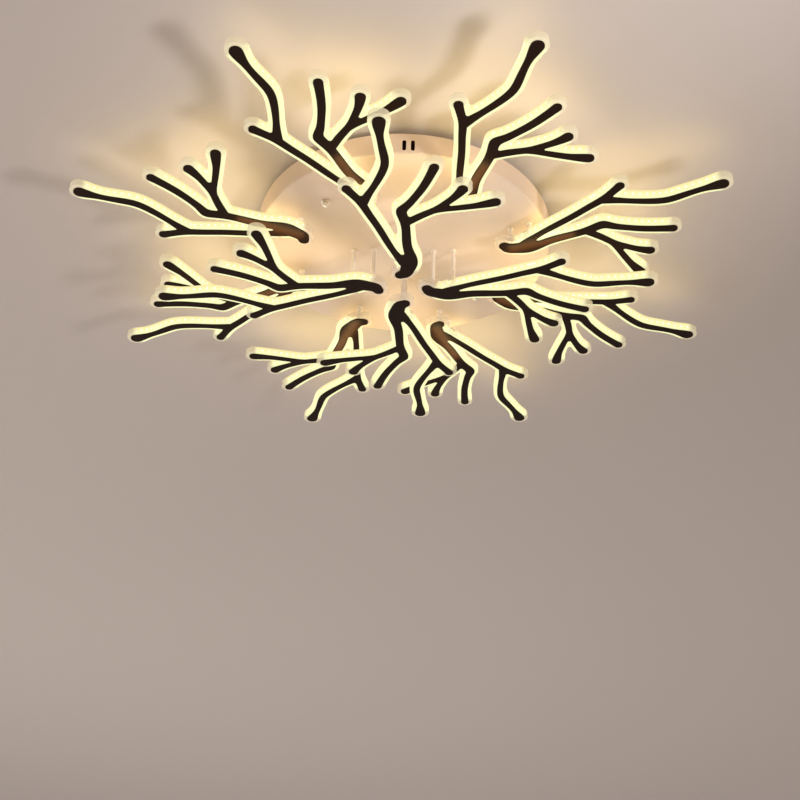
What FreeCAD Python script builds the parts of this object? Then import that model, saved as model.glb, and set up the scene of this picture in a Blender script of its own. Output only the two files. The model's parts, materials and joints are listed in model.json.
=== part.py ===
import FreeCAD, Part
import math
import os
import Sketcher

# Branch ceiling light. Millimetres, +Z up. The origin is on the ceiling, on the axis of the round pan,
# so the whole light lies below Z = 0. Twelve equal branch-shaped arms hang under the pan on posts:
# the inner ones low, the outer ones higher. Each arm is an iron plate with an acrylic slab on top,
# and LED strips in a groove between the two.

doc = FreeCAD.newDocument("BranchCeilingLight")
sheet = doc.addObject("Spreadsheet::Sheet", "Dimensions")

dimensions = [
    # arms: levels, number and place of their roots
    ("inner_level", 120.0, "ceiling to the underside of the inner arms"),
    ("outer_level", 80.0, "ceiling to the underside of the outer arms"),
    ("inner_count", 4, "arms near the middle"),
    ("outer_count", 8, "arms round the outside"),
    ("outer_start_angle", 22.5, "direction of the first outer arm"),
    ("rim_to_far_post", 23.5, "far posts of the outer arms, in from the rim of the pan"),
    # the sandwich that every arm is made of
    ("plate_thickness", 2.0, "black iron plate"),
    ("slab_thickness", 10.0, "acrylic sheet on top of the plate"),
    ("slab_border", 6.0, "how far the acrylic reaches past the plate"),
    ("crotch_radius", 3.0, "rounding where two limbs part"),
    ("strip_width", 5.0, "LED strip"),
    ("strip_thickness", 1.2, "LED strip"),
    ("groove_clearance", 1.4, "on the width, between a strip and its groove in the acrylic"),
    ("groove_depth", 4.5, "depth of that groove"),
    # posts between arm and pan
    ("post_diameter", 6.0, "outside of the tube"),
    ("post_bore", 4.0, "way for the leads inside the tube"),
    ("post_clearance", 0.4, "on the diameter, where a post goes through the slab or the pan"),
    ("post_window", 2.6, "cross hole that lets the leads into the groove"),
    ("post_thread_length", 8.0, "threaded end inside the pan"),
    ("collar_diameter", 9.0, "shoulder under the pan"),
    ("collar_thickness", 1.5, "shoulder under the pan"),
    ("near_post_reach", 45.0, "first post, along the arm"),
    ("near_post_side", -2.0, "first post, across the arm"),
    ("far_post_reach", 75.0, "second post, along the arm"),
    ("far_post_side", -7.0, "second post, across the arm"),
    ("post_nut_width", 9.0, "post nut, across flats"),
    ("post_nut_thickness", 3.0, "post nut"),
    ("thread_clearance", 0.2, "on the diameter, between a thread and its nut"),
    # pan
    ("pan_diameter", 444.0, "outside of the rim"),
    ("rim_gap", 12.0, "ceiling to the rim, which hangs clear of it"),
    ("pan_depth", 46.0, "ceiling to the face"),
    ("pan_sheet", 1.2, "sheet iron"),
    ("pan_taper", 2.0, "how much smaller the radius is at the face"),
    ("pan_inner_bend", 1.8, "inside of the bend between wall and face"),
    ("vent_width", 5.5, "vent slot in the wall"),
    ("vent_height", 18.5, "vent slot in the wall"),
    ("vent_drop", 19.5, "rim to the middle of a slot"),
    ("vent_spacing", 12.0, "between the two slots of a pair"),
    ("vent_shift", 6.0, "middle of a pair, beside the inner arm above it"),
    ("vent_pairs", 4, "pairs of slots round the wall"),
    # bracket on the ceiling, and what holds the pan up to it
    ("bracket_bars", 4, "bars that reach out from the middle"),
    ("bracket_angle", 41.5, "direction of the first bar"),
    ("bracket_end", 15.0, "how far a bar reaches past the middle of its stud"),
    ("bracket_width", 30.0, "width of each bar"),
    ("bracket_thickness", 2.0, "steel strip"),
    ("screw_hole_diameter", 5.2, "for the screws into the ceiling"),
    ("screw_circle", 190.0, "circle of those holes"),
    ("cable_entry_diameter", 22.0, "hole for the mains cable"),
    ("stud_inset", 62.0, "studs, in from the rim of the pan"),
    ("stud_diameter", 5.0, "studs"),
    ("stud_projection", 6.0, "below the face of the pan"),
    ("stud_clearance", 0.6, "on the diameter, where a stud goes through"),
    ("stud_flange_diameter", 10.0, "lock flange under the bracket"),
    ("stud_flange_thickness", 3.0, "lock flange under the bracket"),
    ("cap_flange_diameter", 13.0, "foot of a cap nut"),
    ("cap_flange_thickness", 1.5, "foot of a cap nut"),
    ("cap_diameter", 10.0, "dome of a cap nut"),
    ("cap_flat", 2.0, "flat at the end of the dome, across"),
    ("cap_end", 2.8, "closed end of a cap nut, past the stud"),
    # electrical parts on the inside of the pan
    ("driver_length", 150.0, "LED driver"),
    ("driver_width", 42.0, "LED driver"),
    ("driver_height", 28.0, "LED driver"),
    ("driver_rounding", 2.0, "edges of the driver housing"),
    ("foot_length", 9.0, "fixing foot"),
    ("foot_width", 16.0, "fixing foot"),
    ("foot_thickness", 2.5, "fixing foot"),
    ("foot_clearance", 0.4, "on the diameter, between a foot and its weld stud"),
    ("terminal_ways", 3, "live, neutral, earth"),
    ("terminal_pitch", 12.0, "between two ways"),
    ("terminal_end", 2.0, "block past its outer ways"),
    ("terminal_width", 22.0, "mains terminal block"),
    ("terminal_height", 16.0, "mains terminal block"),
    ("terminal_rounding", 1.0, "edges of the block"),
    ("well_diameter", 5.0, "screw well on top of the block"),
    ("well_depth", 9.0, "screw well on top of the block"),
    ("well_clearance", 0.4, "on the diameter, between a screw and its well"),
    ("terminal_screw_length", 6.0, "screw in a well"),
    ("weld_stud_diameter", 4.0, "weld studs inside the pan"),
    ("weld_stud_length", 7.5, "weld studs inside the pan"),
    ("weld_nut_width", 7.0, "nut on a weld stud, across flats"),
    ("weld_nut_thickness", 3.2, "nut on a weld stud"),
    ("earth_reach", 14.0, "earth stud, beside the axis"),
    ("earth_run", 11.5, "earth lead, from the block to the nut on the earth stud"),
    ("lead_diameter", 2.4, "sleeved leads"),
    ("lead_rise", 4.0, "leads above the ends of the posts"),
    ("lead_tail", 12.0, "leads down inside the posts"),
    ("loom_thickness", 5.0, "bundle of leads"),
    ("outer_leg", 15.0, "from the outer ring of leads to the far posts it serves"),
    ("supply_inset", 4.0, "supply leads, in from the end of the block"),
    ("supply_rise", 4.0, "supply leads, above the pan"),
]

for row, (name, value, meaning) in enumerate(dimensions, start=1):
    sheet.set(f"A{row}", meaning)
    sheet.set(f"B{row}", str(value))
    sheet.setAlias(f"B{row}", name)
doc.recompute()

# Places that several pieces share, worked out from the sheet.
# In an expression, d.name is the cell called name.
outer_offset = "(d.pan_diameter / 2 - d.rim_to_far_post - d.far_post_reach)"
stud_reach = "(d.pan_diameter / 2 - d.stud_inset)"
inside_face = "(d.pan_sheet - d.pan_depth)"

subparts = []


def size(name):
    return float(sheet.get(name))


def bind(feature, prop, expression):
    """Ties a property to the sheet."""
    feature.setExpression(prop, expression.replace("d.", "Dimensions."))


def origin_feature(body, role):
    return next(feature for feature in body.Origin.OriginFeatures if feature.Role == role)


def keep(feature, label):
    """Marks a feature as a finished sub-part under its own name."""
    feature.Label = label
    subparts.append(feature)
    return feature


def compound(name, members):
    group = doc.addObject("Part::Compound", name)
    group.Links = members
    return group


def placed(name, sources, x="0", y="0", z="0", turn="0"):
    """A copy of the sources at a place that follows the sheet."""
    copy = compound(name, sources)
    bind(copy, "Placement.Base.x", x)
    bind(copy, "Placement.Base.y", y)
    bind(copy, "Placement.Base.z", z)
    bind(copy, "Placement.Rotation.Angle", turn)
    return copy


def around(reach, side, direction):
    """Where a point at reach along and side across a direction lies, as X and Y expressions."""
    x = f"({reach}) * cos({direction}) - ({side}) * sin({direction})"
    y = f"({reach}) * sin({direction}) + ({side}) * cos({direction})"
    return x, y


# ---- sketches ----

def new_sketch(body, plane="XY_Plane", lift="0", turn="0"):
    sketch = body.newObject("Sketcher::SketchObject", "Sketch")
    sketch.AttachmentSupport = [(origin_feature(body, plane), "")]
    sketch.MapMode = "FlatFace"
    bind(sketch, "AttachmentOffset.Base.z", lift)
    bind(sketch, "AttachmentOffset.Rotation.Angle", turn)
    return sketch


def pin_down(sketch, shape, point, x, y):
    """Fixes one point of a sketched shape at x, y from the sketch's origin."""
    for kind, expression in (("DistanceX", x), ("DistanceY", y)):
        index = sketch.addConstraint(Sketcher.Constraint(kind, -1, 1, shape, point, 1.0))
        bind(sketch, f"Constraints[{index}]", expression)


def draw_polygon(sketch, corners):
    """A closed outline through corners, each given as two expressions."""
    count = len(corners)
    start = []
    for i in range(count):
        angle = 2 * math.pi * i / count
        start.append(FreeCAD.Vector(math.cos(angle), math.sin(angle), 0))
    first = sketch.GeometryCount
    for i in range(count):
        sketch.addGeometry(Part.LineSegment(start[i], start[(i + 1) % count]), False)
    for i in range(count):
        following = first + (i + 1) % count
        sketch.addConstraint(Sketcher.Constraint("Coincident", first + i, 2, following, 1))
    for i, (x, y) in enumerate(corners):
        pin_down(sketch, first + i, 1, x, y)


def draw_rectangle(sketch, low, high):
    """An upright rectangle between two opposite corners, each given as two expressions."""
    (left, bottom), (right, top) = low, high
    draw_polygon(sketch, [(left, bottom), (right, bottom), (right, top), (left, top)])


def draw_circle(sketch, x, y, diameter):
    start = Part.Circle(FreeCAD.Vector(1, 1, 0), FreeCAD.Vector(0, 0, 1), 1.0)
    circle = sketch.addGeometry(start, False)
    pin_down(sketch, circle, 3, x, y)
    index = sketch.addConstraint(Sketcher.Constraint("Diameter", circle, 2.0))
    bind(sketch, f"Constraints[{index}]", diameter)


# ---- features ----

def add_pad(body, sketch, height, downward=False):
    pad = body.newObject("PartDesign::Pad", "Pad")
    pad.Profile = sketch
    pad.Reversed = downward
    bind(pad, "Length", height)
    return pad


def add_pocket(body, sketch, depth=None, upward=False):
    """A cut of a given depth from the sketch, or right through both ways without one."""
    pocket = body.newObject("PartDesign::Pocket", "Pocket")
    pocket.Profile = sketch
    if depth:
        pocket.Reversed = upward
        bind(pocket, "Length", depth)
    else:
        pocket.Type = "ThroughAll"
        pocket.Midplane = True
    return pocket


def add_turned(body, corners):
    """A body of revolution about Z; corners are pairs of radius and height."""
    sketch = new_sketch(body, "XZ_Plane")
    draw_polygon(sketch, corners)
    turned = body.newObject("PartDesign::Revolution", "Turned")
    turned.Profile = sketch
    turned.ReferenceAxis = (sketch, ["V_Axis"])
    turned.Angle = 360
    return turned


def repeat_round(body, features, count):
    """Repeats features of a body evenly round its Z axis."""
    pattern = body.newObject("PartDesign::PolarPattern", "Round")
    pattern.Originals = features
    pattern.Axis = (origin_feature(body, "Z_Axis"), [""])
    pattern.Angle = 360
    bind(pattern, "Occurrences", count)
    body.Tip = pattern
    return pattern


def round_edges(body, radius, wanted):
    """Fillets the edges of the body so far that the function wanted picks out."""
    doc.recompute()
    base = body.Tip
    names = [f"Edge{i}" for i, edge in enumerate(base.Shape.Edges, start=1) if wanted(base.Shape, edge)]
    if not names:
        return None
    fillet = body.newObject("PartDesign::Fillet", "Rounding")
    fillet.Base = (base, names)
    bind(fillet, "Radius", radius)
    return fillet


same_size = 0.01  # lengths closer than this count as equal


def ring_edge(radius, height):
    """Picks the round edge of a given radius at a given height."""
    def wanted(shape, edge):
        if not isinstance(edge.Curve, Part.Circle):
            return False
        level = edge.BoundBox.ZMin
        return abs(edge.Curve.Radius - radius) < same_size and abs(level - height) < same_size
    return wanted


def upright(edge):
    """True for a straight edge along Z."""
    if len(edge.Vertexes) != 2:
        return False
    run = edge.Vertexes[1].Point - edge.Vertexes[0].Point
    return math.hypot(run.x, run.y) < same_size < abs(run.z)


slight_angle = math.radians(10)  # walls that meet at less than this look smooth


def hollow_corner(shape, edge):
    """True where two upright walls meet in a hollow corner, at more than a slight angle."""
    if not upright(edge):
        return False
    middle = (edge.Vertexes[0].Point + edge.Vertexes[1].Point) * 0.5
    walls = [face for face in shape.Faces if any(side.isSame(edge) for side in face.Edges)]
    outward = [wall.normalAt(*wall.Surface.parameter(middle)) for wall in walls]
    if len(outward) != 2 or outward[0].cross(outward[1]).Length < math.sin(slight_angle):
        return False
    # just off one wall, on either side of the edge: one of the two is inside a hollow corner's other limb
    along = outward[0].cross(FreeCAD.Vector(0, 0, 1))
    aside = 0.3
    proud = outward[0] * 0.02
    probes = (middle + along * aside + proud, middle - along * aside + proud)
    return any(shape.isInside(probe, same_size / 100, False) for probe in probes)


# ---- the branch shape ----

# An arm points along +X from the axis of the light. Each limb is a run of points on its middle line
# with half its width there. The root limb starts at the hooked root and ends in the middle tip.
# The number is the point at which the limb's LED strip starts; its groove starts one point earlier.
limbs = {
    "root": (2, [(36, -5.5, 7.8), (41, 1, 9.6), (52, 4.3, 10.8), (67, 7.3, 11.2), (84, 6.4, 8.4),
                 (100, 2.2, 6.9), (120, -1, 6.7), (150, -4, 6.4), (170, -8.5, 7.2), (185, -11.5, 7.6),
                 (197, -4.5, 6), (212, 3.5, 5.4), (232, 12.5, 5.6), (255, 20.3, 5.9), (278, 26.5, 6.6)]),
    "long": (2, [(60, 3, 8), (72, -5.5, 7), (84, -13.2, 5.2), (108, -25.5, 4.8), (150, -44.4, 5),
                 (178, -58.5, 5.3), (199, -69, 5.8), (213, -79.5, 5.8), (224.5, -88.5, 6.6)]),
    "long_tip": (1, [(186, -64.5, 3.5), (203, -63, 6.2), (222, -56, 4.9), (245, -47.3, 4.9),
                     (262, -42, 5.3), (281, -39, 5.6), (302, -42, 5.4), (323, -46.2, 4.7),
                     (338, -48.3, 5.6), (350, -49.5, 7.9), (359, -50, 8.9)]),
    "side": (1, [(157, -4, 5), (168, 6.5, 5.6), (181, 22, 5.3), (192, 36, 5.2), (206, 48, 5),
                 (217, 56.5, 5.2), (228, 63.5, 6.4), (237, 68, 7.4)]),
    "side_tip": (2, [(184, 26, 4.6), (191, 40, 4.6), (195, 55, 4.5), (200, 75, 4.8), (205, 92, 5.4),
                     (209.5, 104, 6.8), (214, 115, 7.4)]),
}


def limb_outline(points, half_width, square_ends=False):
    """The edges round one limb: two smooth sides, with a round or square end at each tip."""
    left, right, tips = [], [], []
    last = len(points) - 1
    for i, point in enumerate(points):
        before = points[max(i - 1, 0)]
        after = points[min(i + 1, last)]
        along = FreeCAD.Vector(after[0] - before[0], after[1] - before[1], 0).normalize()
        across = FreeCAD.Vector(-along.y, along.x, 0)
        middle = FreeCAD.Vector(point[0], point[1], 0)
        half = half_width(point)
        left.append(middle + across * half)
        right.append(middle - across * half)
        if i == 0:
            tips.append(middle - along * half)
        elif i == last:
            tips.append(middle + along * half)
    sides = []
    for side in (left, right):
        curve = Part.BSplineCurve()
        curve.interpolate(side)
        sides.append(curve)
    if square_ends:
        caps = [Part.LineSegment(left[-1], right[-1]), Part.LineSegment(right[0], left[0])]
    else:
        caps = [Part.Arc(left[-1], tips[1], right[-1]), Part.Arc(right[0], tips[0], left[0])]
    return [sides[0], caps[0], sides[1], caps[1]]


def branch_body(name, lift, thickness, border):
    """A plate cut to the branch shape, a border wider all round than the iron."""
    body = doc.addObject("PartDesign::Body", name)
    for _, points in limbs.values():
        sketch = new_sketch(body, lift=lift)
        sketch.addGeometry(limb_outline(points, lambda point: point[2] + border), False)
        add_pad(body, sketch, thickness)
    round_edges(body, "d.crotch_radius", hollow_corner)
    return body


plate = branch_body("BranchPlate", "0", "d.plate_thickness", 0)
slab = branch_body("BranchSlab", "d.plate_thickness", "d.slab_thickness", size("slab_border"))

half_groove = (size("strip_width") + size("groove_clearance")) / 2
for first, points in limbs.values():
    groove = new_sketch(slab, lift="d.plate_thickness")
    groove.addGeometry(limb_outline(points[first - 1:], lambda point: half_groove), False)
    add_pocket(slab, groove, "d.groove_depth", upward=True)

posts = {
    "Near": ("d.near_post_reach", "d.near_post_side"),
    "Far": ("d.far_post_reach", "d.far_post_side"),
}
post_hole = "d.post_diameter + d.post_clearance"
slab_holes = new_sketch(slab)
for x, y in posts.values():
    draw_circle(slab_holes, x, y, post_hole)
add_pocket(slab, slab_holes)

half_strip = size("strip_width") / 2
strip_outline = doc.addObject("Sketcher::SketchObject", "StripOutline")
for first, points in limbs.values():
    ribbon = limb_outline(points[first:], lambda point: half_strip, square_ends=True)
    strip_outline.addGeometry(ribbon, False)
strips = doc.addObject("Part::Extrusion", "LedStrips")
strips.Base = strip_outline
strips.DirMode = "Normal"
strips.Solid = True
bind(strips, "LengthFwd", "d.strip_thickness")
bind(strips, "Placement.Base.z", "d.plate_thickness")


# ---- posts, from the top of a plate up through the pan ----

def post_pair(name, level):
    """The two posts of an arm at the given level."""
    shoulder = f"({level} - d.plate_thickness - d.pan_depth)"
    collar_foot = f"({shoulder} - d.collar_thickness)"
    top = f"({shoulder} + d.post_thread_length)"
    bore, tube, collar = "d.post_bore / 2", "d.post_diameter / 2", "d.collar_diameter / 2"
    body = doc.addObject("PartDesign::Body", name)
    add_turned(body, [
        (bore, "0"), (tube, "0"), (tube, collar_foot), (collar, collar_foot),
        (collar, shoulder), (tube, shoulder), (tube, top), (bore, top),
    ])
    window = new_sketch(body, "YZ_Plane")
    draw_circle(window, "0", "d.groove_depth / 2", "d.post_window")
    add_pocket(body, window)
    return [placed(f"{name}{which}", [body], x, y, "d.plate_thickness") for which, (x, y) in posts.items()]


post_pairs = {
    "inner": post_pair("InnerPost", "d.inner_level"),
    "outer": post_pair("OuterPost", "d.outer_level"),
}


# ---- twelve arms ----

def arm_places():
    """Number, ring, direction, root offset and level of every arm, the last three as expressions."""
    places = []
    for i in range(int(size("inner_count"))):
        places.append(("inner", f"{i} * 360 / d.inner_count", "0", "d.inner_level"))
    for i in range(int(size("outer_count"))):
        direction = f"(d.outer_start_angle + {i} * 360 / d.outer_count)"
        places.append(("outer", direction, outer_offset, "d.outer_level"))
    return list(enumerate(places, start=1))


for number, (ring, direction, offset, level) in arm_places():
    x, y = around(offset, "0", direction)
    pieces = {"plate": [plate], "acrylic": [slab], "led_strips": [strips], "posts": post_pairs[ring]}
    for piece, sources in pieces.items():
        label = f"arm_{number:02d}_{piece}"
        keep(placed(label, sources, x, y, f"-{level}", direction), label)


# ---- pan ----

pan = keep(doc.addObject("PartDesign::Body", "Pan"), "canopy_pan")
rim = "d.pan_diameter / 2"
face_rim = "(d.pan_diameter / 2 - d.pan_taper)"
add_turned(pan, [
    ("0", "-d.pan_depth"), (face_rim, "-d.pan_depth"), (rim, "-d.rim_gap"),
    (f"{rim} - d.pan_sheet", "-d.rim_gap"), (f"{face_rim} - d.pan_sheet", inside_face), ("0", inside_face),
])
face_radius = size("pan_diameter") / 2 - size("pan_taper")
outer_bend = ring_edge(face_radius, -size("pan_depth"))
inner_bend = ring_edge(face_radius - size("pan_sheet"), size("pan_sheet") - size("pan_depth"))
round_edges(pan, "d.pan_inner_bend + d.pan_sheet", outer_bend)
round_edges(pan, "d.pan_inner_bend", inner_bend)

slots = new_sketch(pan, "XZ_Plane")
slot_ends = new_sketch(pan, "XZ_Plane")
straight = "(d.vent_height - d.vent_width) / 2"
low, high = (f"-d.rim_gap - d.vent_drop {sign} {straight}" for sign in "-+")
for sign in "-+":
    middle = f"d.vent_shift {sign} d.vent_spacing / 2"
    draw_rectangle(slots, (f"{middle} - d.vent_width / 2", low), (f"{middle} + d.vent_width / 2", high))
    for end in (low, high):
        draw_circle(slot_ends, middle, end, "d.vent_width")
vents = [add_pocket(pan, sketch, f"{rim} + d.pan_sheet") for sketch in (slots, slot_ends)]
repeat_round(pan, vents, "d.vent_pairs")

rings = (("0", "0", "d.inner_count"), ("d.outer_start_angle", outer_offset, "d.outer_count"))
for turn, offset, count in rings:
    holes = new_sketch(pan, turn=turn)
    for x, y in posts.values():
        draw_circle(holes, f"{offset} + {x}", y, post_hole)
    repeat_round(pan, [add_pocket(pan, holes)], count)

stud_hole = "d.stud_diameter + d.stud_clearance"
pan_stud_holes = new_sketch(pan, turn="d.bracket_angle")
draw_circle(pan_stud_holes, stud_reach, "0", stud_hole)
repeat_round(pan, [add_pocket(pan, pan_stud_holes)], "d.bracket_bars")


# ---- cross-shaped bracket on the ceiling ----

bracket = keep(doc.addObject("PartDesign::Body", "Bracket"), "ceiling_bracket")
bar = new_sketch(bracket, turn="d.bracket_angle")
half_bar = "d.bracket_width / 2"
draw_rectangle(bar, (f"-{half_bar}", f"-{half_bar}"), (f"{stud_reach} + d.bracket_end", half_bar))
bars = add_pad(bracket, bar, "d.bracket_thickness", downward=True)
repeat_round(bracket, [bars], "d.bracket_bars")

for reach, diameter in (("d.screw_circle / 2", "d.screw_hole_diameter"), (stud_reach, stud_hole)):
    holes = new_sketch(bracket, turn="d.bracket_angle")
    draw_circle(holes, reach, "0", diameter)
    repeat_round(bracket, [add_pocket(bracket, holes)], "d.bracket_bars")
cable_entry = new_sketch(bracket)
draw_circle(cable_entry, "0", "0", "d.cable_entry_diameter")
add_pocket(bracket, cable_entry)


# ---- studs under the bracket and the cap nuts on them ----

def one_per_bar(name, source, z):
    """Copies of the source, one at the stud of each bar of the bracket."""
    copies = []
    for i in range(int(size("bracket_bars"))):
        direction = f"(d.bracket_angle + {i} * 360 / d.bracket_bars)"
        x, y = around(stud_reach, "0", direction)
        copies.append(placed(f"{name}{i + 1}", [source], x, y, z, direction))
    return copies


stud = doc.addObject("PartDesign::Body", "Stud")
shank, flange = "d.stud_diameter / 2", "d.stud_flange_diameter / 2"
flange_top = "-d.bracket_thickness"
flange_foot = f"{flange_top} - d.stud_flange_thickness"
stud_end = "-d.pan_depth - d.stud_projection"
add_turned(stud, [
    ("0", "0"), (shank, "0"), (shank, flange_top), (flange, flange_top), (flange, flange_foot),
    (shank, flange_foot), (shank, stud_end), ("0", stud_end),
])
keep(compound("BracketStuds", one_per_bar("Stud", stud, "0")), "bracket_studs")

cap_nut = doc.addObject("PartDesign::Body", "CapNut")
thread = "(d.stud_diameter + d.thread_clearance) / 2"
foot, dome = "d.cap_flange_diameter / 2", "d.cap_diameter / 2"
bore_end = "-d.stud_projection - d.thread_clearance"
cap_end = f"{bore_end} - d.cap_end"
add_turned(cap_nut, [
    (thread, "0"), (foot, "0"), (foot, "-d.cap_flange_thickness"), (dome, "-d.cap_flange_thickness"),
    (dome, cap_end), ("0", cap_end), ("0", bore_end), (thread, bore_end),
])
cap_height = size("stud_projection") + size("thread_clearance") + size("cap_end")
round_edges(cap_nut, "(d.cap_diameter - d.cap_flat) / 2", ring_edge(size("cap_diameter") / 2, -cap_height))
keep(compound("CapNuts", one_per_bar("CapNut", cap_nut, "-d.pan_depth")), "cap_nuts")


# ---- nuts ----

def hexagon_nut(name, width, thickness, thread_diameter):
    """A plain nut standing on Z = 0, with two flats facing +Y and -Y."""
    block = doc.addObject("Part::Prism", f"{name}Block")
    block.Polygon = 6
    bind(block, "Circumradius", f"{width} / 2 / cos(30)")
    bind(block, "Height", thickness)
    bore = doc.addObject("Part::Cylinder", f"{name}Bore")
    bind(bore, "Radius", f"({thread_diameter} + d.thread_clearance) / 2")
    bind(bore, "Height", thickness)
    nut = doc.addObject("Part::Cut", name)
    nut.Base = block
    nut.Tool = bore
    return nut


post_nut = hexagon_nut("PostNut", "d.post_nut_width", "d.post_nut_thickness", "d.post_diameter")
nut_pair = [placed(f"PostNut{which}", [post_nut], x, y) for which, (x, y) in posts.items()]
nut_pairs = []
for number, (_, direction, offset, _) in arm_places():
    x, y = around(offset, "0", direction)
    nut_pairs.append(placed(f"PostNuts{number}", nut_pair, x, y, inside_face, direction))
keep(compound("PostNuts", nut_pairs), "post_nuts")


# ---- drivers and mains terminal block, on weld studs inside the pan ----

def box_with_feet(name, length, width, height, rounding):
    """A housing along X that stands on Z = 0, with a fixing foot at each end."""
    body = doc.addObject("PartDesign::Body", name)
    housing = new_sketch(body)
    draw_rectangle(housing, (f"-{length} / 2", f"-{width} / 2"), (f"{length} / 2", f"{width} / 2"))
    add_pad(body, housing, height)
    round_edges(body, rounding, lambda shape, edge: edge.BoundBox.ZMax > same_size)
    feet = new_sketch(body)
    foot_end = f"({length} / 2 + d.foot_length)"
    draw_rectangle(feet, (f"-{foot_end}", "-d.foot_width / 2"), (foot_end, "d.foot_width / 2"))
    add_pad(body, feet, "d.foot_thickness")
    holes = new_sketch(body)
    for side in ("-", ""):
        draw_circle(holes, f"{side}({length} + d.foot_length) / 2", "0",
                    "d.weld_stud_diameter + d.foot_clearance")
    add_pocket(body, holes)
    return body


# the drivers stand midway between the far posts of the inner arms and the near posts of the outer ones
outer_near_posts = f"({outer_offset} + d.near_post_reach) * cos(180 / d.outer_count)"
driver_offset = f"((d.far_post_reach + {outer_near_posts}) / 2)"
driver_inside = f"({driver_offset} - d.driver_width / 2)"
driver_outside = f"({driver_offset} + d.driver_width / 2)"
driver = box_with_feet("Driver", "d.driver_length", "d.driver_width", "d.driver_height", "d.driver_rounding")
for number, side in ((1, ""), (2, "-")):
    keep(placed(f"Driver{number}", [driver], y=f"{side}{driver_offset}", z=inside_face), f"driver_{number}")

terminal_length = "(d.terminal_ways * d.terminal_pitch + 2 * d.terminal_end)"
terminal = box_with_feet("Terminal", terminal_length, "d.terminal_width", "d.terminal_height",
                         "d.terminal_rounding")
ways = [f"({i} - (d.terminal_ways - 1) / 2) * d.terminal_pitch" for i in range(int(size("terminal_ways")))]
wells = new_sketch(terminal, lift="d.terminal_height")
for x in ways:
    draw_circle(wells, x, "0", "d.well_diameter")
add_pocket(terminal, wells, "d.well_depth")
keep(placed("TerminalBlock", [terminal], z=inside_face), "terminal_block")

screw = doc.addObject("Part::Cylinder", "TerminalScrew")
bind(screw, "Radius", "(d.well_diameter - d.well_clearance) / 2")
bind(screw, "Height", "d.terminal_screw_length")
well_floor = f"{inside_face} + d.terminal_height - d.well_depth"
keep(compound("TerminalScrews", [placed("Screw", [screw], x, "0", well_floor) for x in ways]),
     "terminal_screws")

foot_studs = []
for x in ("-", ""):
    foot_studs.append((f"{x}({terminal_length} + d.foot_length) / 2", "0"))
    for y in ("-", ""):
        foot_studs.append((f"{x}(d.driver_length + d.foot_length) / 2", f"{y}{driver_offset}"))
block_side = "d.terminal_width / 2"
earth_stud = ("d.earth_reach", f"-({block_side} + d.earth_run + d.weld_nut_width / 2)")

weld_stud = doc.addObject("Part::Cylinder", "WeldStud")
bind(weld_stud, "Radius", "d.weld_stud_diameter / 2")
bind(weld_stud, "Height", "d.weld_stud_length")
weld_studs = [placed("FootStud", [weld_stud], x, y, inside_face) for x, y in foot_studs]
weld_studs.append(placed("EarthStud", [weld_stud], *earth_stud, inside_face))
keep(compound("WeldStuds", weld_studs), "weld_studs")

weld_nut = hexagon_nut("WeldNut", "d.weld_nut_width", "d.weld_nut_thickness", "d.weld_stud_diameter")
foot_top = f"{inside_face} + d.foot_thickness"
weld_nuts = [placed("FootNut", [weld_nut], x, y, foot_top) for x, y in foot_studs]
weld_nuts.append(placed("EarthNut", [weld_nut], *earth_stud, inside_face))
keep(compound("WeldNuts", weld_nuts), "weld_nuts")


# ---- leads inside the pan ----

def rod(name, start, end, diameter):
    """A straight lead from start to end, which differ along one axis only."""
    along = {0: FreeCAD.Rotation(FreeCAD.Vector(0, 1, 0), 90),
             1: FreeCAD.Rotation(FreeCAD.Vector(1, 0, 0), -90),
             2: FreeCAD.Rotation()}
    axis = next(i for i in range(3) if start[i] != end[i])
    piece = doc.addObject("Part::Cylinder", name)
    bind(piece, "Radius", f"{diameter} / 2")
    bind(piece, "Height", f"({end[axis]}) - ({start[axis]})")
    for label, expression in zip("xyz", start):
        bind(piece, f"Placement.Base.{label}", expression)
    piece.Placement.Rotation = along[axis]
    return piece


def joined(name, pieces):
    whole = doc.addObject("Part::MultiFuse", name)
    whole.Shapes = pieces
    return whole


def lead_leg(name, low, high, reach):
    """A lead along X from low to high, which turns down into a far post at reach."""
    side = posts["Far"][1]
    elbow = doc.addObject("Part::Sphere", f"{name}Elbow")
    bind(elbow, "Radius", "d.lead_diameter / 2")
    bind(elbow, "Placement.Base.x", reach)
    bind(elbow, "Placement.Base.y", side)
    along = rod(f"{name}Along", (low, side, "0"), (high, side, "0"), "d.lead_diameter")
    down = rod(f"{name}Down", (reach, side, "-d.lead_tail"), (reach, side, "0"), "d.lead_diameter")
    return joined(name, [along, down, elbow])


def loom(ring, radius, leg, tail_start, tail_end):
    """A ring of leads with a leg to each arm of that ring and a tail to each driver."""
    bundle = doc.addObject("Part::Torus", f"{ring}Bundle")
    bind(bundle, "Radius1", radius)
    bind(bundle, "Radius2", "d.loom_thickness / 2")
    pieces = [bundle]
    for number, arm in arm_places():
        if arm[0] == ring:
            pieces.append(placed(f"{ring}Leg{number}", [leg], turn=arm[1]))
    tails = ((tail_start, tail_end), (f"-({tail_end})", f"-({tail_start})"))
    for start, end in tails:
        pieces.append(rod(f"{ring}Tail", ("0", start, "0"), ("0", end, "0"), "d.lead_diameter"))
    level = "-d.pan_depth + d.post_thread_length + d.lead_rise"
    return placed(f"{ring}Loom", [joined(f"{ring}Leads", pieces)], z=level)


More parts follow.
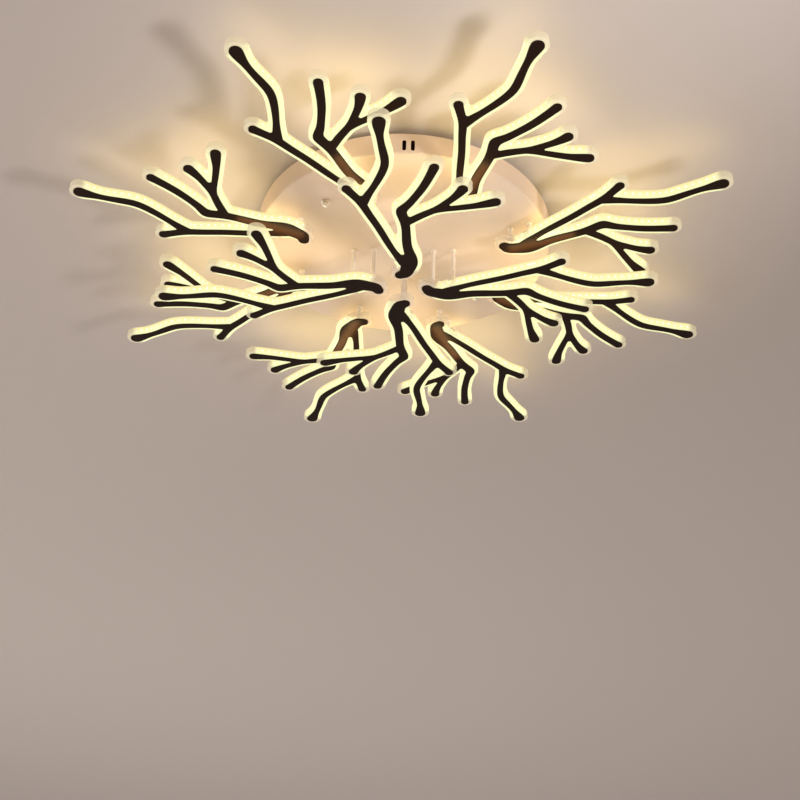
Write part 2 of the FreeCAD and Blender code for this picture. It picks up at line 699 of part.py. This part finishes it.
inner_reach = posts["Far"][0]
outer_reach = f"({outer_offset} + {inner_reach})"
inner_ring = f"(({inner_reach} + {driver_inside}) / 2)"
outer_ring = f"({outer_reach} - d.outer_leg)"
inner_leg = lead_leg("InnerLead", inner_reach, inner_ring, inner_reach)
outer_leg = lead_leg("OuterLead", outer_ring, outer_reach, outer_reach)
supply = f"({terminal_length} / 2 - d.supply_inset)"
supply_level = f"{inside_face} + d.supply_rise"
earth_level = f"{inside_face} + d.weld_nut_thickness / 2"
leads = [
    loom("inner", inner_ring, inner_leg, inner_ring, driver_inside),
    loom("outer", outer_ring, outer_leg, driver_outside, outer_ring),
    rod("Supply1", (supply, block_side, supply_level), (supply, driver_inside, supply_level),
        "d.lead_diameter"),
    rod("Supply2", (f"-{supply}", f"-{driver_inside}", supply_level),
        (f"-{supply}", f"-{block_side}", supply_level), "d.lead_diameter"),
    rod("EarthLead", ("d.earth_reach", f"-({block_side} + d.earth_run)", earth_level),
        ("d.earth_reach", f"-{block_side}", earth_level), "d.lead_diameter"),
]
keep(compound("Leads", leads), "leads")


# ---- check and write ----

doc.recompute()
failed = [item.Name for item in doc.Objects if {"Invalid", "Error"} & set(item.State)]
if failed:
    raise RuntimeError(f"features that did not build: {failed}")
for feature in subparts:
    if feature.Shape.isNull() or not feature.Shape.isValid() or not feature.Shape.Solids:
        raise RuntimeError(f"{feature.Label} has no valid solid")

os.makedirs("parts", exist_ok=True)
for feature in subparts:
    feature.Shape.exportStep(f"parts/{feature.Label}.step")
print(f"{len(subparts)} sub-parts written")
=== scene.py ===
import json
import math

import bmesh
import bpy
import numpy
from mathutils import Matrix, Vector


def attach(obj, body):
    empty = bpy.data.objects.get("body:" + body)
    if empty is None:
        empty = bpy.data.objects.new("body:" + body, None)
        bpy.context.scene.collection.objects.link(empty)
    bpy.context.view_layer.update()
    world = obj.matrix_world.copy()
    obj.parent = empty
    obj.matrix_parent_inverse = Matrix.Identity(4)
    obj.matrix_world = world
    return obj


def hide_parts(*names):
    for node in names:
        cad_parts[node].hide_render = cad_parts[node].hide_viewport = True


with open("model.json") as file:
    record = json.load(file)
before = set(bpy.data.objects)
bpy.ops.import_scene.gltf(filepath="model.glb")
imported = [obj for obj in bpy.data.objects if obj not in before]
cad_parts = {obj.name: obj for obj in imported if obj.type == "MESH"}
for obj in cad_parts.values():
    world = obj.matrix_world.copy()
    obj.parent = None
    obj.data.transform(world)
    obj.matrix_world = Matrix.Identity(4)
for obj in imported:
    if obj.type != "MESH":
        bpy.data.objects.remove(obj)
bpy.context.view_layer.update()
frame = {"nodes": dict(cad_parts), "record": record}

mm = 0.001
print("stage: frame loaded,", len(frame["nodes"]), "nodes")


def addNode(tree, kind, settings=None, links=None):
    # a node with its settings, and links from other nodes' outputs to its inputs
    node = tree.nodes.new(kind)
    for key, value in (settings or {}).items():
        if isinstance(key, int) or key[0].isupper():
            node.inputs[key].default_value = value
        else:
            setattr(node, key, value)
    for key, source in (links or {}).items():
        tree.links.new(source, node.inputs[key])
    return node


def linear(hexColour):
    # sRGB hex to the linear values that the shaders take
    parts = [int(hexColour[i:i + 2], 16) / 255 for i in (1, 3, 5)]
    return [part / 12.92 if part <= 0.04045 else ((part + 0.055) / 1.055) ** 2.4 for part in parts] + [1]


def newMaterial(name):
    material = bpy.data.materials.new(name)
    material.use_nodes = True
    tree = material.node_tree
    tree.nodes.clear()
    return material, tree, tree.nodes.new("ShaderNodeOutputMaterial")


def show(item):
    bpy.context.scene.collection.objects.link(item)
    return item


# Camera: below the light and in front of it, looking up at the ceiling.
camera = {
    "place": (-61.7, -1655, -1311),  # mm, from the middle of the pan on the ceiling
    "pitch": 31.11,  # degrees up
    "yaw": 2.17,  # degrees to the right of straight ahead
    "roll": 1.71,  # degrees
    "sensor": 36,
    "lens": 61.3,
}


def makeCamera():
    data = bpy.data.cameras.new("camera")
    data.sensor_width = camera["sensor"]
    data.lens = camera["lens"]
    item = show(bpy.data.objects.new("camera", data))
    pitch, yaw, roll = (math.radians(camera[key]) for key in ("pitch", "yaw", "roll"))
    ahead = Vector((math.sin(yaw) * math.cos(pitch), math.cos(yaw) * math.cos(pitch), math.sin(pitch)))
    level = Vector((math.cos(yaw), -math.sin(yaw), 0))
    upright = level.cross(ahead)
    right = level * math.cos(roll) + upright * math.sin(roll)
    up = upright * math.cos(roll) - level * math.sin(roll)
    turn = Matrix((right, up, -ahead)).transposed().to_4x4()
    item.matrix_world = Matrix.Translation(Vector(camera["place"]) * mm) @ turn
    bpy.context.scene.camera = item


makeCamera()

# Room: ceiling, floor and soft light. Lengths in mm.
room = {
    "half": 4500,  # half the side of the floor, and the reach of the ceiling
    "ceilingGap": 0.5,  # over the bracket, which lies against it
    "holeRadius": 200,  # opening over the pan, through which its inside is lit
    "holeSides": 96,
    "floor": -2800,
    "ceilingColour": "#c4b7af",
    "floorColour": "#ddd6cf",
    "stippleScale": 300.0,  # grains to a metre
    "stippleStrength": 0.08,
    "stippleDepth": 0.5,
    "paintedInsideShade": "#2a1a10",  # painted shade of the pan's inside, which shows through the vents
    "worldColour": "#ffffff",
    "worldStrength": 0.6,
    # plain soft fill from below
    "fillPlace": (-500, 700, -2700),
    "fillSize": 5200,
    "fillPower": 71,
    "fillAim": (0, 0, 0),
    "fillSpread": 180,  # degrees
    # soft lamp on the right, which casts the arms' shadows to the left
    "keyPlace": (1120, -1050, -1080),
    "keyAim": (0, -500, 0),
    "keySize": 240,
    "keyPower": 1.85,
    "keySpread": 60,
}


def paintedBoard(name, colour):
    # matt wall paint: fine roller stipple and no shine; from behind it is clear, so that views from above see
    # the light
    material, tree, out = newMaterial(name)
    place = addNode(tree, "ShaderNodeTexCoord")
    stipple = addNode(tree, "ShaderNodeTexNoise", {"Scale": room["stippleScale"], "Detail": 2.0},
                      {"Vector": place.outputs["Object"]})
    bump = addNode(tree, "ShaderNodeBump",
                   {"Strength": room["stippleStrength"], "Distance": room["stippleDepth"] * mm},
                   {"Height": stipple.outputs["Fac"]})
    paint = addNode(tree, "ShaderNodeBsdfDiffuse", {"Color": linear(colour)}, {"Normal": bump.outputs["Normal"]})
    clear = addNode(tree, "ShaderNodeBsdfTransparent")
    side = addNode(tree, "ShaderNodeNewGeometry")
    shader = addNode(tree, "ShaderNodeMixShader", None, {0: side.outputs["Backfacing"],
                                                        1: paint.outputs[0], 2: clear.outputs[0]})
    tree.links.new(shader.outputs[0], out.inputs["Surface"])
    return material


def paintedShadeLid():
    # the hollow over the pan: painted shade, dark where the camera sees it from below, and clear for light from
    # above
    material, tree, out = newMaterial("paintedShadeHollow")
    dark = addNode(tree, "ShaderNodeBsdfDiffuse", {"Color": linear(room["paintedInsideShade"])})
    clear = addNode(tree, "ShaderNodeBsdfTransparent")
    side = addNode(tree, "ShaderNodeNewGeometry")
    ray = addNode(tree, "ShaderNodeLightPath")
    front = addNode(tree, "ShaderNodeMath", {"operation": "SUBTRACT", "use_clamp": True},
                    {0: ray.outputs["Is Camera Ray"], 1: side.outputs["Backfacing"]})
    shader = addNode(tree, "ShaderNodeMixShader", None,
                     {0: front.outputs[0], 1: clear.outputs[0], 2: dark.outputs[0]})
    tree.links.new(shader.outputs[0], out.inputs["Surface"])
    return material


def stagePiece(name, points, faces, material):
    mesh = bpy.data.meshes.new(name)
    mesh.from_pydata([Vector(point) * mm for point in points], [], faces)
    mesh.materials.append(material)
    show(bpy.data.objects.new(name, mesh))


def makeRoom():
    half, gap, sides, level = (room[key] for key in ("half", "ceilingGap", "holeSides", "floor"))
    turns = [2 * math.pi * i / sides for i in range(sides)]
    rim = [(room["holeRadius"] * math.cos(turn), room["holeRadius"] * math.sin(turn), gap) for turn in turns]
    edge = [(half * math.cos(turn), half * math.sin(turn), gap) for turn in turns]
    ring = [((i + 1) % sides, sides + (i + 1) % sides, sides + i, i) for i in range(sides)]
    stagePiece("ceiling", rim + edge, ring, paintedBoard("mattCeilingPaint", room["ceilingColour"]))
    # the hollow is a lid of painted shade over the opening, where the ceiling inside the pan would lie in shade
    stagePiece("hollow", rim, [tuple(reversed(range(sides)))], paintedShadeLid())
    stagePiece("floor", [(-half, -half, level), (half, -half, level), (half, half, level), (-half, half, level)],
               [(0, 1, 2, 3)], paintedBoard("paleFloorPaint", room["floorColour"]))
    world = bpy.data.worlds.new("world")
    world.use_nodes = True
    backdrop = world.node_tree.nodes["Background"]
    backdrop.inputs["Color"].default_value = linear(room["worldColour"])
    backdrop.inputs["Strength"].default_value = room["worldStrength"]
    bpy.context.scene.world = world
    for name in ("fill", "key"):
        lamp = bpy.data.lights.new(name, "AREA")
        lamp.shape = "DISK"
        lamp.size = room[name + "Size"] * mm
        lamp.energy = room[name + "Power"]
        lamp.spread = math.radians(room[name + "Spread"])
        item = show(bpy.data.objects.new(name, lamp))
        item.location = Vector(room[name + "Place"]) * mm
        away = Vector(room[name + "Place"]) - Vector(room[name + "Aim"])
        item.rotation_euler = away.to_track_quat("Z", "Y").to_euler()
        item.visible_camera = False


makeRoom()
bpy.context.scene.view_settings.view_transform = "Standard"
print("stage: camera and room")

# Where the arms stand: the inner ones low, the outer ones higher and further out. Lengths in mm.
arms = {
    "innerCount": 4,
    "outerCount": 8,
    "outerStart": 22.5,  # degrees
    "outerOffset": 123.5,
    "innerLevel": -118,  # underside of the acrylic
    "outerLevel": -78,
}

# Middle lines of the limbs, with the arm along +X, and the number of the point where each LED strip starts.
limbs = {
    "root": (2, [(36, -5.5), (41, 1), (52, 4.3), (67, 7.3), (84, 6.4), (100, 2.2), (120, -1), (150, -4),
                 (170, -8.5), (185, -11.5), (197, -4.5), (212, 3.5), (232, 12.5), (255, 20.3), (278, 26.5)]),
    "long": (2, [(60, 3), (72, -5.5), (84, -13.2), (108, -25.5), (150, -44.4), (178, -58.5), (199, -69),
                 (213, -79.5), (224.5, -88.5)]),
    "longTip": (1, [(186, -64.5), (203, -63), (222, -56), (245, -47.3), (262, -42), (281, -39),
                    (302, -42), (323, -46.2), (338, -48.3), (350, -49.5), (359, -50)]),
    "side": (1, [(157, -4), (168, 6.5), (181, 22), (192, 36), (206, 48), (217, 56.5), (228, 63.5), (237, 68)]),
    "sideTip": (2, [(184, 26), (191, 40), (195, 55), (200, 75), (205, 92), (209.5, 104), (214, 115)]),
}


def armPlaces():
    # name, turn in degrees, offset and level of each arm
    places = [("arm_%02d" % (i + 1), 360 * i / arms["innerCount"], 0, arms["innerLevel"])
              for i in range(arms["innerCount"])]
    for i in range(arms["outerCount"]):
        turn = arms["outerStart"] + 360 * i / arms["outerCount"]
        places.append(("arm_%02d" % (i + 1 + arms["innerCount"]), turn, arms["outerOffset"], arms["outerLevel"]))
    return places


def armMatrix(turn, offset, level):
    move = Matrix.Translation(Vector((offset * mm, 0, level * mm)))
    return Matrix.Rotation(math.radians(turn), 4, "Z") @ move


# Acrylic: its light starts where a strip starts and dies away just before the strip's end. Lengths in mm.
slab = {
    "thickness": 10,
    "lineSteps": 6,  # parts between two points of a middle line
    "startFade": 6,
    "endInset": 2,
    "endFade": 12,
    "reach": 22,  # light goes this far aside of a middle line
    "edgeRound": 0.45,  # polished edge
    "inset": 0.9999,  # keeps the twelve copies of one outline inside the CAD shapes
    "topMesh": 5,  # longest edge on the top, so that the light's pattern lies evenly
    "topRounds": 8,  # rounds of cutting at most
    "mergeGap": 0.001,  # points of the CAD mesh this close are one
    "flatWithin": 0.5,  # degrees, between faces that are merged
    "sharpOver": 60,  # degrees, between faces whose edge is rounded
    "sharpFlat": 0.9,  # one of these faces points up or down by this much or more
    "topFlat": 0.99,  # a face that points up by more is top, and one that is level by less is wall
}


def fineLine(points, steps):
    # a smooth line through the points, by the Catmull-Rom rule
    points = [Vector(point) for point in points]
    line = []
    for i in range(len(points) - 1):
        before, start, end = points[max(i - 1, 0)], points[i], points[i + 1]
        after = points[min(i + 2, len(points) - 1)]
        for k in range(steps):
            t = k / steps
            bend = 2 * before - 5 * start + 4 * end - after
            twist = 3 * start - before - 3 * end + after
            line.append(0.5 * (2 * start + (end - before) * t + bend * t ** 2 + twist * t ** 3))
    line.append(points[-1])
    return numpy.array(line)


def readLimbs():
    # line, distance along it at each point, and the distance where the strip starts
    found = []
    for start, points in limbs.values():
        line = fineLine(points, slab["lineSteps"])
        steps = numpy.linalg.norm(numpy.diff(line, axis=0), axis=1)
        distance = numpy.concatenate(([0.0], numpy.cumsum(steps)))
        found.append((line, distance, distance[start * slab["lineSteps"]]))
    return found


fineLimbs = readLimbs()


def besideLimbs(spots):
    # for each limb and spot, how far along the middle line and how far aside of it
    alongs, asides = [], []
    rows = numpy.arange(len(spots))
    for line, distance, _ in fineLimbs:
        runs = numpy.diff(line, axis=0)
        toSpot = spots[:, None, :] - line[None, :-1]
        share = numpy.clip((toSpot * runs).sum(axis=2) / (runs ** 2).sum(axis=1), 0, 1)
        gaps = numpy.linalg.norm(toSpot - share[:, :, None] * runs, axis=2)
        best = gaps.argmin(axis=1)
        alongs.append(distance[best] + share[rows, best] * numpy.diff(distance)[best])
        asides.append(gaps[rows, best])
    return numpy.array(alongs), numpy.array(asides)


def ease(values):
    values = numpy.clip(values, 0, 1)
    return values * values * (3 - 2 * values)


def glowBeside(alongs, asides):
    # how much of the strips' light reaches each spot, from 0 to 1
    glow = numpy.zeros(alongs.shape[1])
    for (_, distance, start), along, aside in zip(fineLimbs, alongs, asides):
        comesUp = ease((along - start) / slab["startFade"] + 1)
        diesAway = ease((distance[-1] - slab["endInset"] - along) / slab["endFade"] + 0.5)
        glow = numpy.maximum(glow, numpy.where(aside < slab["reach"], comesUp * diesAway, 0))
    return glow


def makeSlabMesh():
    # one arm's acrylic in its own frame, from the CAD shape, with its edges rounded and the light's measures
    # on it
    work = bmesh.new()
    work.from_mesh(frame["nodes"]["arm_01_acrylic"].data)
    bmesh.ops.translate(work, vec=(0, 0, -arms["innerLevel"] * mm), verts=work.verts)
    bmesh.ops.remove_doubles(work, verts=work.verts, dist=slab["mergeGap"] * mm)
    bmesh.ops.dissolve_limit(work, angle_limit=math.radians(slab["flatWithin"]), verts=work.verts,
                             edges=work.edges)
    bmesh.ops.scale(work, vec=(slab["inset"], slab["inset"], 1), verts=work.verts)
    rims = [edge for edge in work.edges if len(edge.link_faces) == 2
            and edge.calc_face_angle() > math.radians(slab["sharpOver"])
            and abs(edge.link_faces[0].normal.z) + abs(edge.link_faces[1].normal.z) > slab["sharpFlat"]]
    bmesh.ops.bevel(work, geom=rims, offset=slab["edgeRound"] * mm, segments=2, profile=0.5, affect="EDGES",
                    clamp_overlap=True)
    bmesh.ops.triangulate(work, faces=[face for face in work.faces if len(face.verts) > 4])
    topFlat = slab["topFlat"]
    for _ in range(slab["topRounds"]):
        wide = [edge for edge in work.edges if edge.calc_length() > slab["topMesh"] * mm
                and all(face.normal.z > topFlat for face in edge.link_faces)]
        if not wide:
            break
        bmesh.ops.subdivide_edges(work, edges=wide, cuts=1)
        tops = [face for face in work.faces if face.normal.z > topFlat]
        made = bmesh.ops.triangulate(work, faces=tops)
        inner = {edge for face in made["faces"] for edge in face.edges
                 if all(other.normal.z > topFlat for other in edge.link_faces)}
        bmesh.ops.beautify_fill(work, faces=made["faces"], edges=list(inner))
    work.verts.index_update()
    spots = numpy.array([vert.co[:2] for vert in work.verts]) / mm
    alongs, asides = besideLimbs(spots)
    glow = glowBeside(alongs, asides)
    layers = {name: work.loops.layers.float.new(name) for name in ("along", "aside", "rise", "glow")}
    for face in work.faces:
        face.smooth = abs(face.normal.z) < topFlat
        corners = [loop.vert.index for loop in face.loops]
        limb = asides[:, corners].mean(axis=1).argmin()
        for loop in face.loops:
            index = loop.vert.index
            loop[layers["along"]] = alongs[limb, index]
            loop[layers["aside"]] = asides[limb, index]
            loop[layers["rise"]] = loop.vert.co.z / mm
            loop[layers["glow"]] = glow[index]
    mesh = bpy.data.meshes.new("slab")
    work.to_mesh(mesh)
    work.free()
    return mesh


acrylic = {
    "haze": "#f4dfcb",  # where no strip lights it
    "litBase": "#000000",  # where one does, its own light is all that shows
    # up the wall, from beside the iron to the top edge
    "glow": ((0.12, "#fffab8"), (0.45, "#fff7b2"), (0.8, "#fff1ac"), (1.0, "#f3de9f")),
    "dot": "#fffff4",
    "border": "#fcfbbe",  # underside, beside the iron
    "upward": "#ffe6a6",
    "dotPitch": 10.0,  # mm, one LED to the next
    "dotRise": 3.4,  # mm over the iron
    "dotRadius": 3.2,  # mm, where a dot has died away
    "dotCore": 0.5,  # mm
    "strayGlow": 0.08,  # share of the light that wanders on into the unlit acrylic
    "ior": 1.49,
    "unlitRoughness": 0.12,
    "flatFrom": 0.8,  # how level a face is where it starts to count as top or underside
    "flatTo": 0.95,
    "edgeFrom": 1.0,  # mm from the top or underside, where the polished edge starts
    "edgeTo": 0.2,
    "wallVeil": 0.05,  # how much the unlit wall hides
    "borderVeil": 0.4,  # and the frosted underside beside the iron
    "edgeVeil": 0.12,  # and the polished edge
}


def makeAcrylic():
    # cast acrylic, laser cut and edge lit: its walls glow milky yellow, paler beside the iron, with a white spot
    # for each LED; past the strips it is clear with a faint haze
    material, tree, out = newMaterial("edgeLitCastAcrylic")
    values = {name: addNode(tree, "ShaderNodeAttribute", {"attribute_name": name}).outputs["Fac"]
              for name in ("along", "aside", "rise", "glow")}
    share = addNode(tree, "ShaderNodeMath", {"operation": "DIVIDE", 1: float(slab["thickness"])},
                    {0: values["rise"]})
    wall = addNode(tree, "ShaderNodeValToRGB", None, {"Fac": share.outputs[0]})
    steps = wall.color_ramp.elements
    while len(steps) < len(acrylic["glow"]):
        steps.new(1.0)
    for step, (position, hexColour) in zip(steps, acrylic["glow"]):
        step.position = position
        step.color = linear(hexColour)
    surface = addNode(tree, "ShaderNodeNewGeometry")
    normal = addNode(tree, "ShaderNodeSeparateXYZ", None, {0: surface.outputs["True Normal"]})
    up, down = (addNode(tree, "ShaderNodeMapRange",
                        {"From Min": sign * acrylic["flatFrom"], "From Max": sign * acrylic["flatTo"]},
                        {"Value": normal.outputs["Z"]}) for sign in (1, -1))
    # a spot every pitch: distance from the nearest LED along the limb, and up the wall or across the top
    phase = addNode(tree, "ShaderNodeMath", {"operation": "PINGPONG", 1: acrylic["dotPitch"] / 2},
                    {0: values["along"]})
    lift = addNode(tree, "ShaderNodeMath", {"operation": "SUBTRACT", 1: acrylic["dotRise"]}, {0: values["rise"]})
    across = addNode(tree, "ShaderNodeMix", {"data_type": "FLOAT"},
                     {0: up.outputs["Result"], 2: lift.outputs[0], 3: values["aside"]})
    flat = addNode(tree, "ShaderNodeCombineXYZ", None, {"X": phase.outputs[0], "Y": across.outputs[0]})
    away = addNode(tree, "ShaderNodeVectorMath", {"operation": "LENGTH"}, {0: flat.outputs[0]})
    spot = addNode(tree, "ShaderNodeMapRange",
                   {"interpolation_type": "SMOOTHSTEP", "From Min": acrylic["dotRadius"],
                    "From Max": acrylic["dotCore"]},
                   {"Value": away.outputs["Value"]})
    top = addNode(tree, "ShaderNodeMix", {"data_type": "RGBA", 7: linear(acrylic["upward"])},
                  {0: up.outputs["Result"], 6: wall.outputs["Color"]})
    dotted = addNode(tree, "ShaderNodeMix", {"data_type": "RGBA", 7: linear(acrylic["dot"])},
                     {0: spot.outputs["Result"], 6: top.outputs[2]})
    colour = addNode(tree, "ShaderNodeMix", {"data_type": "RGBA", 7: linear(acrylic["border"])},
                     {0: down.outputs["Result"], 6: dotted.outputs[2]})
    base = addNode(tree, "ShaderNodeMix",
                   {"data_type": "RGBA", 6: linear(acrylic["haze"]), 7: linear(acrylic["litBase"])},
                   {0: values["glow"]})
    # unlit, it is a faint veil, thicker at the underside and along the edges
    middle = addNode(tree, "ShaderNodeMath", {"operation": "SUBTRACT", 1: slab["thickness"] / 2},
                     {0: values["rise"]})
    offMiddle = addNode(tree, "ShaderNodeMath", {"operation": "ABSOLUTE"}, {0: middle.outputs[0]})
    edge = addNode(tree, "ShaderNodeMapRange",
                   {"From Min": slab["thickness"] / 2 - acrylic["edgeFrom"],
                    "From Max": slab["thickness"] / 2 - acrylic["edgeTo"],
                    "To Min": acrylic["wallVeil"], "To Max": acrylic["edgeVeil"]},
                   {"Value": offMiddle.outputs[0]})
    flatness = addNode(tree, "ShaderNodeMath", {"operation": "MAXIMUM"}, {0: up.outputs["Result"],
                                                                         1: down.outputs["Result"]})
    faces = addNode(tree, "ShaderNodeMapRange", {"To Min": acrylic["wallVeil"], "To Max": acrylic["borderVeil"]},
                    {"Value": down.outputs["Result"]})
    veil = addNode(tree, "ShaderNodeMix", {"data_type": "FLOAT"},
                   {0: flatness.outputs[0], 2: edge.outputs["Result"], 3: faces.outputs["Result"]})
    solid = addNode(tree, "ShaderNodeMix", {"data_type": "FLOAT", 3: 1.0},
                    {0: values["glow"], 2: veil.outputs[0]})
    light = addNode(tree, "ShaderNodeMapRange", {"To Min": acrylic["strayGlow"]}, {"Value": values["glow"]})
    shader = addNode(tree, "ShaderNodeBsdfPrincipled",
                     {"Roughness": acrylic["unlitRoughness"], "IOR": acrylic["ior"]},
                     {"Base Color": base.outputs[2], "Emission Color": colour.outputs[2],
                      "Emission Strength": light.outputs["Result"], "Alpha": solid.outputs[0]})
    tree.links.new(shader.outputs[0], out.inputs["Surface"])
    return material


def makeSlabs():
    mesh = makeSlabMesh()
    mesh.materials.append(makeAcrylic())
    for name, turn, offset, level in armPlaces():
        own = mesh.copy()
        own.transform(armMatrix(turn, offset, level))
        piece = show(bpy.data.objects.new(name + "_slab", own))
        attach(piece, "root")
        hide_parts(name + "_acrylic")


makeSlabs()
print("stage: acrylic slabs")

# Warm light that the strips throw up at the ceiling: one thin lamp along each stretch of an arm. Lengths in mm.
warm = {
    "stretches": [((52, 4), (190, -8)), ((190, -8), (270, 24)), ((84, -13), (216, -82)), ((203, -63), (350, -50)),
                  ((160, -2), (232, 65)), ((189, 38), (212, 108))],
    "width": 12,
    "lift": 0.6,  # over the acrylic
    "colour": "#ffeaa8",
    "radiance": 4.4,
    "overPan": {"inner": 0.5, "outer": 0.25},  # share left of it where the pan catches it
    # what the inner arms throw on the roots of the outer ones
    "root": ((40, 4), (140, -2)),
    "rootWidth": 14,
    "rootDrop": 18,  # under the top of the acrylic
    "rootColour": "#ffe19c",
    "rootRadiance": 8.0,
}


def makeWarmLamp(name, place, run, width, radiance, colour):
    # a thin lamp that faces up, from the start to the end of the run
    start, end = (Vector((x * mm, y * mm, 0)) for x, y in run)
    lamp = bpy.data.lights.new(name, "AREA")
    lamp.shape = "RECTANGLE"
    lamp.size, lamp.size_y = (end - start).length, width * mm
    lamp.color = linear(colour)[:3]
    lamp.energy = radiance * math.pi * lamp.size * lamp.size_y
    item = show(bpy.data.objects.new(name, lamp))
    turn = math.atan2((end - start).y, (end - start).x)
    aim = Matrix.Rotation(turn, 4, "Z") @ Matrix.Rotation(math.pi, 4, "X")
    item.matrix_world = place @ Matrix.Translation((start + end) / 2) @ aim
    item.visible_camera = False


def makeWarmLamps():
    for name, turn, offset, level in armPlaces():
        place = armMatrix(turn, offset, level + slab["thickness"] + warm["lift"])
        for i, run in enumerate(warm["stretches"]):
            share = 1
            if not offset:
                share = warm["overPan"]["inner"]
            elif i == 0:
                share = warm["overPan"]["outer"]
            makeWarmLamp("%s_warm_%d" % (name, i), place, run, warm["width"], warm["radiance"] * share,
                         warm["colour"])
        if offset:
            under = armMatrix(turn, offset, level + slab["thickness"] - warm["rootDrop"])
            makeWarmLamp(name + "_root", under, warm["root"], warm["rootWidth"], warm["rootRadiance"],
                         warm["rootColour"])


makeWarmLamps()
print("stage: warm lamps")

# Finishes of the CAD nodes. Grain and mottle are sizes in mm; grain is drawn coarse enough to show in the
# render.
finishes = {
    # satin black enamel sprayed on laser cut iron: even and dark, brown where warm light rakes over it
    "iron_plate": {"name": "satinBlackEnamelOnIron", "colour": "#24140b", "roughness": 0.55, "metallic": 0.0,
                   "specular": 0.05, "grain": 1.5, "mottle": 40, "depth": 0.02, "tint": 0.10},
    # white solder mask over copper: flat and slightly glossy
    "led_strip": {"name": "whiteSolderMaskedCircuit", "colour": "#f2ecd8", "roughness": 0.45, "metallic": 0.0,
                  "specular": 0.5, "grain": 1.0, "mottle": 10, "depth": 0.01, "tint": 0.05},
    # white lacquer on drawn steel tube: smooth, with soft highlights down its length
    "post_metal": {"name": "whiteLacqueredSteelTube", "colour": "#f6ebe2", "roughness": 0.3, "metallic": 0.0,
                   "specular": 0.5, "grain": 1.5, "mottle": 20, "depth": 0.01, "tint": 0.02},
    # warm white powder coat on pressed sheet iron: faint orange peel, low sheen
    "pan_paint": {"name": "warmWhitePowderCoat", "colour": "#dbc3b1", "roughness": 0.45, "metallic": 0.0,
                  "specular": 0.5, "grain": 1.6, "mottle": 90, "depth": 0.03, "tint": 0.02},
    # zinc plated steel: grey and slightly cloudy
    "zinc_steel": {"name": "zincPlatedSteel", "colour": "#c4c5c3", "roughness": 0.34, "metallic": 1.0,
                   "specular": 0.5, "grain": 0.8, "mottle": 12, "depth": 0.01, "tint": 0.14},
    # bright nickel on turned brass: warm and mirror like
    "nickel_plate": {"name": "brightNickelOnTurnedBrass", "colour": "#e9dfd2", "roughness": 0.35, "metallic": 1.0,
                     "specular": 0.5, "grain": 0.5, "mottle": 6, "depth": 0.004, "tint": 0.05},
    # moulded polycarbonate: matt white, with a fine spark eroded texture
    "driver_case": {"name": "mouldedWhitePolycarbonate", "colour": "#e9e7e1", "roughness": 0.55, "metallic": 0.0,
                    "specular": 0.5, "grain": 0.9, "mottle": 30, "depth": 0.03, "tint": 0.03},
    # moulded polyamide: cream, faintly waxy
    "terminal_plastic": {"name": "mouldedCreamPolyamide", "colour": "#ded2b8", "roughness": 0.42, "metallic": 0.0,
                         "specular": 0.5, "grain": 0.8, "mottle": 8, "depth": 0.02, "tint": 0.05},
    # extruded silicone sleeve: white and dull, with faint dust
    "lead_sleeve": {"name": "extrudedWhiteSilicone", "colour": "#e4e0d6", "roughness": 0.55, "metallic": 0.0,
                    "specular": 0.4, "grain": 0.7, "mottle": 15, "depth": 0.01, "tint": 0.06},
}


# How the noise of all finishes is read.
noise = {
    "low": 0.3,  # it lies mostly between these two
    "high": 0.7,
    "grainDetail": 2.0,
    "mottleDetail": 4.0,
    "roughSwing": 0.15,  # share by which the roughness goes up and down
    "bumpStrength": 0.5,
}


def makeFinish(look):
    material, tree, out = newMaterial(look["name"])
    place = addNode(tree, "ShaderNodeTexCoord")
    grain = addNode(tree, "ShaderNodeTexNoise",
                    {"Scale": 1 / (look["grain"] * mm), "Detail": noise["grainDetail"]},
                    {"Vector": place.outputs["Object"]})
    mottle = addNode(tree, "ShaderNodeTexNoise",
                     {"Scale": 1 / (look["mottle"] * mm), "Detail": noise["mottleDetail"]},
                     {"Vector": place.outputs["Object"]})
    wander = addNode(tree, "ShaderNodeMapRange",
                     {"From Min": noise["low"], "From Max": noise["high"], "To Min": 1 - look["tint"],
                      "To Max": 1 + look["tint"]},
                     {"Value": mottle.outputs["Fac"]})
    shade = addNode(tree, "ShaderNodeVectorMath", {"operation": "SCALE", 0: linear(look["colour"])[:3]},
                    {"Scale": wander.outputs["Result"]})
    rough = addNode(tree, "ShaderNodeMapRange",
                    {"From Min": noise["low"], "From Max": noise["high"],
                     "To Min": look["roughness"] * (1 - noise["roughSwing"]),
                     "To Max": look["roughness"] * (1 + noise["roughSwing"])}, {"Value": grain.outputs["Fac"]})
    bump = addNode(tree, "ShaderNodeBump", {"Strength": noise["bumpStrength"], "Distance": look["depth"] * mm},
                   {"Height": grain.outputs["Fac"]})
    shader = addNode(tree, "ShaderNodeBsdfPrincipled",
                     {"Metallic": look["metallic"], "Specular IOR Level": look["specular"]},
                     {"Base Color": shade.outputs[0], "Roughness": rough.outputs["Result"],
                      "Normal": bump.outputs["Normal"]})
    tree.links.new(shader.outputs[0], out.inputs["Surface"])
    return material


def finishNodes():
    made = {slotName: makeFinish(look) for slotName, look in finishes.items()}
    slotOf = {entry["node"]: entry["material_slot"] for entry in frame["record"]["subparts"]}
    for nodeName, node in frame["nodes"].items():
        if slotOf[nodeName] in made:
            for slot in node.material_slots:
                slot.material = made[slotOf[nodeName]]


finishNodes()
print("stage: finishes")
